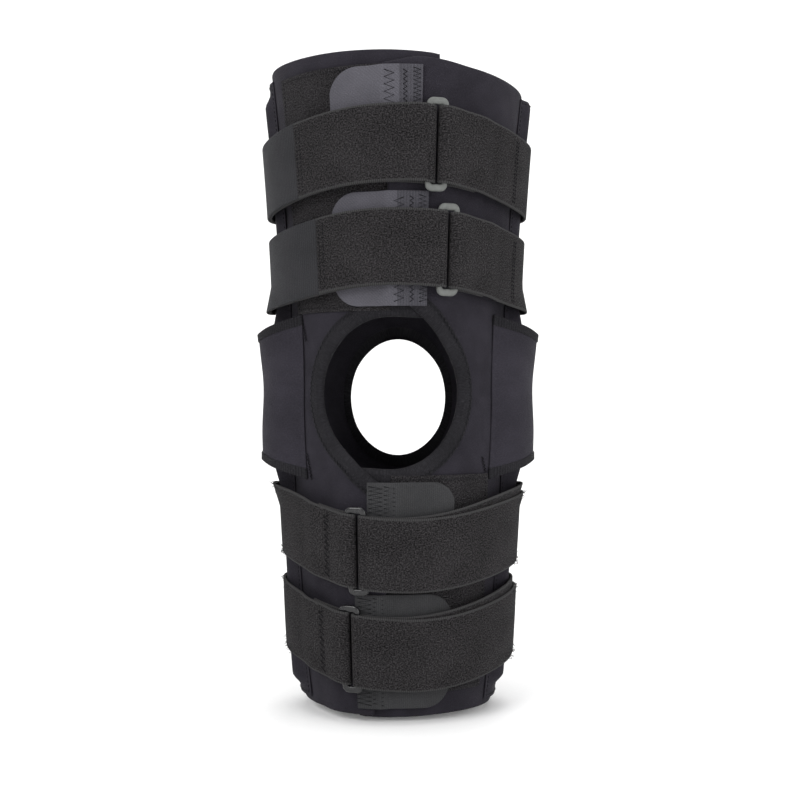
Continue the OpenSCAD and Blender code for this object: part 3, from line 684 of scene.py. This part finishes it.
def tab(side, name, z0, z1, sewn_x, tip_x, smooth, tip_r, columns):
    """A hook tab: sewn on its flap near the edge, and pressed on the loop pile at its tip.
    It is ribbed from smooth on, and columns holds each zigzag's two places and its step."""
    part, mid = BODY[side], (z0 + z1) / 2
    flap = flap_edge(mid, side)
    tip, sewn = angle_at(tip_x, mid), angle_at(sewn_x, mid)

    def cut(u):
        d = np.clip((u - tip) * half_w(mid) * math.pi / 180 + 0.5, 0, tip_r)
        return tip_r - math.sqrt(max(tip_r**2 - (tip_r - d) ** 2, 0))

    def base(u, _):
        return 2 * GAP + PATCH_T + 0.25 + (NEOPRENE - PATCH_T) * ease((u - flap + 8) / 7)

    near = tip + np.array([0, 0.25, 0.6, 1.1, 1.8, 2.7, 3.8])
    us = np.concatenate([near, np.arange(tip + 5, sewn, 1.2), [sewn]])
    material = TAB_GREY if side == THIGH else TAB_DARK
    made = skin_loft(f"{part}_tab_{name}_webbing", us, lambda u: z0 + cut(u), lambda u: z1 - cut(u), base,
                     TAB_T, material, side, across=30, seed=9)
    if smooth is not None:
        made.data.materials.append(TAB_SEWN)
        limit = math.sin(math.radians(angle_at(smooth, mid)))
        for f in made.data.polygons:
            x = side * f.center.x / MM / half_w(mid)
            if x > limit:
                f.material_index = 1
    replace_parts(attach(made, part), f"{part}_hook_tab_{name}")
    lines = []
    for x_low, x_high, step in columns:
        zs = np.arange(z0 + 2.5, z1 - 2, step)
        xs = np.where(np.arange(len(zs)) % 2 == 0, x_low, x_high)
        u = angle_at(xs, zs)
        lines.append(on_leg(u, zs, base(u, zs) + TAB_T + 0.1, side))
    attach(threads(f"{part}_tab_{name}_zigzag", lines, STITCH, THREAD), part)


# ---- The straps ----

def strap_point(run, s, w, off, drop=0.0):
    """The point on a strap s to the right of its ring, w above its middle and off over its bed.
    The strap comes down by drop at the leg's side."""
    side, height, ring_u = run[:3]
    u = ring_u + np.degrees(s / half_w(height))
    z = height - math.copysign(1, height) * DIP[side] * np.sin(np.radians(u)) ** 2 + w
    z = z - drop * ease(-np.asarray(s) / 110)
    return on_leg(u, z, strap_base(u, z) + off, side)


def tail_rise(d):
    """How far a tail or chape stands off the strap below it, d from the ring's bar."""
    return WEB + GAP + (RING_OFF * 2 - GAP - 2 * (WEB + GAP)) * (1 - ease(d / TAIL_RISE))


def strap_sweep(name, run, path, material, seed, t=WEB, across=26, pile=0.0, flip=1, drop=0.0):
    """A strap's webbing along path, points (distance to the right of the ring, height over its bed)."""
    rng = np.random.default_rng(seed)
    path = np.asarray(path, float)
    w, n = tape_section(STRAP_W, t, across)
    along = np.gradient(path, axis=0)
    along /= np.linalg.norm(along, axis=1)[:, None]
    normal = np.stack([-along[:, 1], along[:, 0]], -1) * flip
    rings, uv, length = [], [], 0.0
    fuzz_here = (n >= t / 2) & (np.abs(w) < STRAP_W / 2 - 2.0)
    for k, (p, q) in enumerate(zip(path, normal)):
        length += np.linalg.norm(p - path[k - 1]) if k else 0
        through = n + fuzz_here * (pile * 1.4 + pile * rng.random(len(n)))
        drift = 0.25 * math.sin(length / 17 + seed)
        rings.append(strap_point(run, p[0] + q[0] * through, w + drift, p[1] + q[1] * through, drop))
        uv += [(length, v) for v in w]
    return lofted(name, rings, material, uv, sharp=70)


def fold(side):
    """The half turn round a ring's bar, from the leg outwards."""
    r = BAR / 2 + RING_GAP + WEB / 2
    turn = np.radians(np.linspace(-90, 90, 13))
    return np.stack([side * (BAR_S - FOLD_S * np.cos(turn)), RING_OFF + r * np.sin(turn)], -1)


def at_angle(run, u):
    """The distance to the right of the ring at u degrees."""
    return math.radians(u - run[2]) * half_w(run[1])


def cross_rows(run, s, off, gap, drop=0.0):
    """Rows of stitches across a strap, as short threads."""
    lines = []
    for k in range(2):
        w = np.arange(-STRAP_W / 2 + 3, STRAP_W / 2 - 3, 1.2)
        lines += dashes(strap_point(run, s + k * gap, w, off, drop))
    return lines


def cross_zigzag(run, s0, s1, off):
    """A zigzag across a strap, between s0 and s1."""
    w = np.arange(-STRAP_W / 2 + 3, STRAP_W / 2 - 3, 1.9)
    s = np.where(np.arange(len(w)) % 2 == 0, s0, s1)
    return strap_point(run, s, w, off)


def strap_system(name, seed):
    """A strap from its sewn start to its hook end, with its chape and its ring."""
    run = RUNS[name]
    side, part = run[0], BODY[run[0]]
    mid_off = GAP + WEB / 2
    drop = 0.0 if side == THIGH else 5.5
    start = at_angle(run, STRAP_START - 360)
    level = np.arange(start, -BAR_S, 2.6)
    inner = np.concatenate([np.stack([level, np.full(len(level), mid_off)], -1), fold(-1),
                            [(-BAR_S - 1.0, RING_OFF * 2 - mid_off)]])
    strap = strap_sweep(f"{name}_webbing", run, inner, PILE, seed)
    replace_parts(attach(strap, part), f"{name}_strap")

    back = np.arange(BAR_S + 20, BAR_S, -2.0)
    out = np.arange(BAR_S + 1.0, at_angle(run, CHAPE_END), 1.7)
    d = out - BAR_S
    rise = tail_rise(d) - (WEB + GAP) * ease((d - 22) / 12)
    chape = np.concatenate([np.stack([back, np.full(len(back), mid_off)], -1), fold(1),
                            np.stack([out, mid_off + rise], -1)])
    made = strap_sweep(f"{name}_chape_pile", run, chape, PILE, seed + 1, pile=0.16, across=32, flip=-1)
    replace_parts(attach(made, part), f"{name}_chape")

    tail_body = f"{name}_tail"
    far = at_angle(run, run[3])
    s = np.concatenate([np.arange(-BAR_S - 0.3, -BAR_S - 9, -0.9), np.arange(-BAR_S - 9, far, -1.7), [far]])
    d = -BAR_S - BEND_ZONE - s
    tail = np.stack([s, mid_off + tail_rise(np.maximum(d, 0))], -1)
    made = strap_sweep(f"{name}_tail_pile", run, tail, PILE, seed + 2, pile=0.16, across=34, flip=-1,
                       drop=drop)
    starts = [strap_point(run, at, 0.0, mid_off + 5.8) * MM for at in (-BAR_S - 0.8, -BAR_S - 7.5)]
    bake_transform(made)
    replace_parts(made, f"{name}_tail")

    hook_far = at_angle(run, run[4])
    s = np.arange(far + 5.0, hook_far, -2.0)
    under = GAP + WEB + GAP + HOOK_T / 2
    hook = np.stack([s, np.full(len(s), under - 0.25)], -1)
    made = strap_sweep(f"{name}_hook_webbing", run, hook, HOOK, seed + 3, t=HOOK_T, across=20, flip=-1,
                       drop=drop)
    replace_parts(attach(made, tail_body), f"{name}_hook_end")

    top = GAP + WEB + GAP + WEB + 0.35
    lines = cross_rows(run, far + 1.6, top, gap=2.6, drop=drop)
    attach(threads(f"{name}_tail_stitches", lines, STITCH, THREAD), tail_body)
    seam = BAR_S + 13 if side == CALF else at_angle(run, 60 if name == "upper_thigh" else 64)
    rise = tail_rise(seam - BAR_S) - (WEB + GAP) * ease((seam - BAR_S - 22) / 12)
    off = mid_off + WEB / 2 + float(rise) + 0.35
    lines = [cross_zigzag(run, seam - 1.6, seam + 1.6, off)]
    if side == THIGH:
        lines = cross_rows(run, seam, off, gap=2.2)
    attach(threads(f"{name}_chape_stitches", lines, STITCH, THREAD), part)
    if side == CALF:
        layer = GAP + WEB
        for body, u0, u1, top, down in ((part, 68, 100, layer, 0), (tail_body, -96, -70, 2 * layer, drop)):
            loose = loose_fibres(run, u0, u1, top + 0.2, down, seed)
            made = threads(f"{body}_{name}_fibres", loose, 0.13, PILE, sides=4)
            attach(made, body)
    ring_piece(name, run)


def loose_fibres(run, u0, u1, off, drop, seed):
    """Fibres that stand out from a strap's worn edges at the leg's side."""
    rng = np.random.default_rng(seed + 7)
    lines = []
    for _ in range(46):
        w = rng.choice([-1, 1]) * (STRAP_W / 2 - 0.4 - 6 * rng.random() ** 3)
        s = at_angle(run, rng.uniform(u0, u1))
        steps = np.array([0, 0.4, 0.75, 1.0]) * rng.uniform(0.8, 2.6)
        bend, lean = rng.uniform(-0.9, 0.9), rng.uniform(-0.7, 0.7)
        lines.append(strap_point(run, s + bend * steps**1.4, w + lean * steps**1.3,
                                 off - 0.3 + steps * 0.8, drop))
    return lines


def ring_outline(w, h, r):
    """A rounded rectangle about the ring's middle, with points along its long sides too."""
    points = []
    for x, y, first in ((w - r, h - r, 0), (r - w, h - r, 90), (r - w, r - h, 180), (w - r, r - h, 270)):
        corner = np.radians(np.linspace(first, first + 90, 8))
        points += [(x + r * math.cos(a), y + r * math.sin(a)) for a in corner]
        if first in (90, 270):
            points += [(points[-1][0], points[-1][1] * (1 - k / 6)) for k in range(1, 12)]
    return np.array(points)


def ring_piece(name, run):
    """A rounded ring of thick wire-like section, that the strap's two sides fold round."""
    side, height, u = run[:3]
    z = height - math.copysign(1, height) * DIP[side] * math.sin(math.radians(u)) ** 2
    off = float(strap_base(u, z)) + RING_OFF
    sin_u, cos_u = math.sin(math.radians(u)), math.cos(math.radians(u))
    yaw = math.atan2(sin_u * (half_d(z) + off), cos_u * (half_w(z) + off))
    rise = half_d(z + 10) - mid_y(z + 10) - half_d(z - 10) + mid_y(z - 10)
    lean = math.atan2(rise, 20)
    cy, sy, cl, sl = math.cos(yaw), math.sin(yaw), math.cos(lean), math.sin(lean)
    about_z, about_x = [[cy, -sy, 0], [sy, cy, 0], [0, 0, 1]], [[1, 0, 0], [0, cl, -sl], [0, sl, cl]]
    turn = np.array(about_z) @ np.array(about_x)
    outer = ring_outline(RING_W / 2, RING_H / 2, 4.2)
    inner = ring_outline(BAR_S - BAR / 2, STRAP_W / 2 + 0.5, 1.2)
    rings = []
    for p, q in zip(outer, inner):
        middle, half = (p + q) / 2, (p - q) / 2
        loop = []
        for a in np.radians(np.arange(0, 360, 24)):
            out = math.copysign(abs(math.cos(a)) ** 0.7, math.cos(a))
            deep = 1.4 * math.copysign(abs(math.sin(a)) ** 0.7, math.sin(a))
            x, y = middle + half * out
            loop.append((x, deep, y))
        rings.append(loop)
    local = np.array(rings)
    points = local.reshape(-1, 3) @ turn.T + on_leg(u, z, off)
    points[:, 0] *= side
    # the thigh rings get the grey of the painted reflection, the calf rings the plastic's own black
    material = RING_PAINTED_REFLECTION if side == THIGH else RING_BLACK
    made = lofted(f"{name}_ring_moulding", points.reshape(local.shape), material, None, ring=True, sharp=80)
    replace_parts(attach(made, BODY[side]), f"{name}_ring")


def keepers(side):
    """The webbing loops on the rear that the straps run through."""
    for name, run in RUNS.items():
        if run[0] != side:
            continue
        half = STRAP_W / 2 + 1
        zs = np.concatenate([np.linspace(-half - 5, -half, 8), np.linspace(-half + 1, half - 1, 16),
                             np.linspace(half, half + 5, 8)])
        over = (WEB + GAP) * (1 - ease((np.abs(zs) - half) / 3)) + GAP
        rings = []
        for u in np.linspace(171, 189, 12):
            outside = on_leg(u, run[1] + zs, over + 1.3, side)
            under = on_leg(u, run[1] + zs[::-1], over[::-1] + 0.1, side)
            rings.append(np.concatenate([outside, under]))
        uv = [(k * 2.2, z) for k in range(len(rings)) for z in (*zs, *zs[::-1])]
        made = lofted(f"{name}_keeper_webbing", rings, BINDING, uv)
        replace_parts(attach(made, BODY[side]), f"{BODY[side]}_strap_keepers")
        lines = []
        for z in (run[1] - half - 2.6, run[1] + half + 2.6):
            u = np.linspace(172, 188, 15)
            zz = z + np.where(np.arange(15) % 2 == 0, -1.2, 1.2)
            lines.append(on_leg(u, zz, 1.9, side))
        sewn = threads(f"{name}_keeper_stitches", lines, STITCH, THREAD)
        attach(sewn, BODY[side])


# ---- The sides: pockets, hinge covers and pads ----

def side_loft(name, ys, zs, inner, outer, material, side, slant=0.0):
    """A fabric on a side of the leg, from cross-sections over the ordinates ys at the heights zs."""
    rings, uv = [], []
    for z in zs:
        a, b = outer(ys, z), inner(ys, z)
        t = a - b
        front, rear = ([[ys[k] + way * 0.35 * t[k], b[k] + 0.75 * t[k]],
                        [ys[k] + way * 0.45 * t[k], b[k] + 0.3 * t[k]]] for k, way in ((0, -1), (-1, 1)))
        loop = np.concatenate([np.stack([ys, a], -1), rear, np.stack([ys, b], -1)[::-1], front[::-1]])
        rings.append(np.stack([side * loop[:, 1], loop[:, 0], slanted(loop[:, 0], z, slant)], -1))
        uv += [(y, z) for y in loop[:, 0]]
    return lofted(name, rings, material, uv, sharp=60)


def slanted(y, z, slant):
    """The height of a point of a side piece whose ends slant down by slant from its edges to its crown."""
    return z - np.sign(z) * slant * cover_rise(y) * (np.abs(z) / COVER_END) ** 1.5


def pocket_in(y, z):
    """The pocket's inside: over the arm, then down to the wrap beside it and past its tip."""
    skin = side_x(y, z) + GAP
    tip = REACH[THIGH if z > 0 else CALF] - ARM_TIP
    over = (1 - ease((np.abs(y) - ARM_HALF - 0.8) / 11)) * (1 - ease((abs(z) - tip + 2) / 9))
    return np.maximum(skin, skin + (arm_in(z) + ARM_T + ARM_SLACK - skin) * over)


def pocket_out(y, z):
    """The pocket's outside: a little uneven, and thinner towards its edges."""
    settled = 0.4 + 0.6 * ease(np.minimum(y + 22.5, 20.5 - y) / 9)
    ripple = 0.25 * np.sin(z / 11 + y / 5)
    return pocket_in(y, z) + (POCKET_T + ripple) * settled


def arm_pocket(half, side, hand):
    """The pocket over an arm; half is THIGH or CALF, side is the sign of X."""
    part = BODY[half]
    ys = np.linspace(-22, 20, 34)
    end = min(abs(float(hem(90 if side == half else 270, half))) - 3, REACH[half] - 4.5)
    zs = half * np.linspace(43, end, 66)
    made = side_loft(f"{part}_pocket_{hand}", ys, zs, pocket_in, pocket_out, POCKET, side)
    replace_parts(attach(made, part), f"{part}_arm_pocket_{hand}")
    lines = []
    for y in (-20.2, 18.2):
        z = half * np.arange(54, end - 2, 1.4)
        x = np.array([pocket_out(y, h) for h in z]) + 0.15
        lines += dashes(np.stack([side * x, np.full(len(z), y), z], -1))
    y, z = np.arange(-20, 18.01, 1.3), half * (end - 2)
    lines += dashes(np.stack([side * (pocket_out(y, z) + 0.15), y, np.full(len(y), z)], -1))
    sewn = threads(f"{part}_pocket_{hand}_stitches", lines, STITCH, THREAD)
    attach(sewn, part)


def cover_crown(z):
    """How far out the cover's inside lies over the hinge: a little further towards its ends."""
    return HINGE_OUT + (3.0 if z > 0 else 0.6) * (abs(z) / COVER_END) ** 2


def cover_rise(y):
    """From 0 at the cover's edges to 1 over the hinge, with a fairly sharp corner between."""
    front = (y - COVER_Y[0]) / (COVER_Y[1] - COVER_Y[0])
    rear = (COVER_Y[3] - y) / (COVER_Y[3] - COVER_Y[2])
    t = np.minimum(front, rear)
    t = (t + 1 - np.sqrt((t - 1) ** 2 + 0.012)) / 2 + 0.004
    return t * (1.45 - 0.45 * t)


def cover_in(y, z):
    """The cover's inside, from the wrap at its edges to its crown over the hinge."""
    skin = side_x(y, z) + GAP
    return skin + (cover_crown(z) - skin) * cover_rise(y)


def cover_out(y, z):
    """The cover's outside: dimpled, and thin at its edges."""
    dimple = 0.35 * np.sin(z / 9 + 1) * np.sin(y / 8)
    return cover_in(y, z) + (COVER_T + dimple) * (0.35 + 0.65 * ease(cover_rise(y) * 1.5))


def hinge_cover(half, side, hand):
    """Half of a hinge cover, with the tape on its end and its stitches."""
    place = "upper" if half == THIGH else "lower"
    front, crown, _, rear = COVER_Y
    ys = np.concatenate([np.linspace(front, crown + 6, 26), np.linspace(crown + 7.5, rear, 26)])
    zs = half * np.linspace(0, COVER_END, 34)
    made = side_loft(f"hinge_cover_{hand}_{place}", ys, zs, cover_in, cover_out, COVER, side, COVER_SLANT)
    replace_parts(bending(made, half), f"hinge_cover_{hand}")
    tape_z = half * np.linspace(COVER_END - 5.5, COVER_END + 0.8, 8)
    tape = side_loft(f"hinge_cover_{hand}_{place}_tape", ys, tape_z, lambda y, z: cover_in(y, z) - 0.4,
                     lambda y, z: cover_out(y, z) + 0.7, BINDING, side, COVER_SLANT)
    bending(tape, half)
    y = rear - 3.0
    z = half * np.arange(1, COVER_END - 6, 1.3)
    x = np.array([cover_out(y, h) for h in z]) + 0.2
    lines = dashes(np.stack([side * x, np.full(len(z), y), slanted(y, z, COVER_SLANT)], -1))
    sewn = threads(f"hinge_cover_{hand}_{place}_stitches", lines, STITCH, THREAD)
    bending(sewn, half)


def condyle_pad(side, hand):
    """The foam pad between the hinge and the knee: flat outside and hollowed to the leg inside."""
    rings, uv = [], []
    for turn in np.arange(0, 360, 7.5):
        c, s = math.cos(math.radians(turn)), math.sin(math.radians(turn))
        loop = []
        for r, depth in ((0.2, 0), (0.5, 0), (0.8, 0), (0.94, 0.08), (1.0, 0.35), (1.0, 0.65), (0.94, 0.92),
                         (0.8, 1), (0.5, 1), (0.2, 1)):
            y, z = 26 * r * c, 26 * r * s
            low, high = side_x(y, z) + 0.4, 73.5
            loop.append((side * (low + (high - low) * (1 - depth)), y, z))
            uv.append((y, z))
        rings.append(loop)
    made = lofted(f"condyle_pad_{hand}_foam", rings, FOAM, uv, ring=True, sharp=80)
    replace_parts(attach(made, "hinge_plates"), f"condyle_pad_{hand}")


def bartacks():
    """The short rows of dense stitches beside the hinge covers, on the front of the wrap."""
    marks = [(-58.5, 48, -56.0, 34), (60.0, 42, 62.5, 32), (-55.5, -35, -52.5, -51), (51.5, -37, 53.5, -47)]
    for k, (xa, za, xb, zb) in enumerate(marks):
        z = np.linspace(za, zb, int(abs(za - zb) / 0.9))
        x = np.linspace(xa, xb, len(z)) + np.where(np.arange(len(z)) % 2 == 0, -0.5, 0.5)
        line = on_leg(angle_at(x, z), z, 0.7)
        bending(threads(f"bartack_{k + 1}", [line], 0.35, THREAD), THIGH if za > 0 else CALF)


# ---- Building it ----

for half in (THIGH, CALF):
    wrap_half(half)
    loop_patch(half)
    keepers(half)
    for side, hand in ((1, "right"), (-1, "left")):
        arm_pocket(half, side, hand)
        hinge_cover(half, side, hand)
for side, hand in ((1, "right"), (-1, "left")):
    condyle_pad(side, hand)
bartacks()
tab(THIGH, "upper", 129, 193.6, 13.2, -38, 1, 18, [(-7.5, -2.0, 2.1), (3.0, 5.0, 1.4), (8.5, 12.4, 1.2)])
tab(THIGH, "lower", 53.5, 121, 16.2, -37, -1, 16, [(-2, 3.2, 2.1), (6.5, 8.5, 1.4), (11.5, 15.5, 1.2)])
tab(CALF, "upper", -117, -51, 16.8, -32.3, None, 14, [(1.5, 7.5, 1.3), (8.5, 16, 1.3)])
tab(CALF, "lower", -190, -119, 23, -30.5, None, 16, [(8, 13.5, 1.3), (14.5, 22, 1.3)])
for k, name in enumerate(RUNS):
    strap_system(name, 11 * (k + 1))

HARD = {"femoral_arm": ARM_METAL, "tibial_arm": ARM_METAL, "inner_plate": PLATE_METAL,
        "outer_plate": PLATE_METAL, "hinge_liners": LINER, "pivot_pins": PIN_METAL, "stop_pins": PIN_METAL}
for stem, material in HARD.items():
    for hand in ("left", "right"):
        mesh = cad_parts[f"{stem}_{hand}"].data
        mesh.materials.clear()
        mesh.materials.append(material)


# ---- The studio ----

def studio():
    """A white sweep of paper, soft lights, and the camera at the photo's angle."""
    low = -REACH[CALF] * MM - 0.003
    profile = [(-2.6, low)] + [(0.9 + 0.7 * math.sin(a), low + 0.7 * (1 - math.cos(a)))
                              for a in np.radians(np.linspace(0, 90, 13))] + [(1.6, 3.2)]
    points = [(x / MM, y / MM, z / MM) for y, z in profile for x in (-3.5, 3.5)]
    faces = [(2 * k, 2 * k + 1, 2 * k + 3, 2 * k + 2) for k in range(len(profile) - 1)]
    paper, tree, shader = surface("backdrop_paper", Roughness=0.95, Specular_IOR_Level=0.1)
    place = node(tree, "ShaderNodeTexCoord").outputs["Object"]
    grain = node(tree, "ShaderNodeTexNoise", Vector=place, Scale=300.0, Detail=2.0).outputs[0]
    tree.links.new(mixed(tree, grain, (0.9, 0.9, 0.9), (0.93, 0.93, 0.93)), shader.inputs["Base Color"])
    piece("backdrop", points, faces, paper)

    world = bpy.data.worlds.new("studio_sky")
    world.use_nodes = True
    world.node_tree.nodes["Background"].inputs[0].default_value = (1, 1, 1, 1)
    world.node_tree.nodes["Background"].inputs[1].default_value = 0.9
    bpy.context.scene.world = world
    for name, at, power, size in (("key", (-0.9, -1.3, 0.9), 14, 0.9), ("fill", (1.2, -1.0, 0.3), 9, 1.0),
                                  ("top", (0.1, -0.2, 1.6), 7, 1.0), ("back", (0.3, 1.1, 1.3), 7, 1.0)):
        light = bpy.data.lights.new(name, "AREA")
        light.energy, light.size = power, size
        lamp = bpy.data.objects.new(name, light)
        lamp.location = at
        lamp.rotation_mode = "QUATERNION"
        lamp.rotation_quaternion = (-Vector(at)).to_track_quat("-Z", "Y")
        bpy.context.scene.collection.objects.link(lamp)

    camera = bpy.data.objects.new("camera", bpy.data.cameras.new("camera"))
    camera.location = (0.0013, -0.85, -0.002)
    camera.rotation_euler = (math.radians(90), 0, 0)
    camera.data.lens, camera.data.sensor_width = 58.8, 36
    bpy.context.scene.collection.objects.link(camera)
    bpy.context.scene.camera = camera
    bpy.context.scene.view_settings.view_transform = "Standard"


studio()
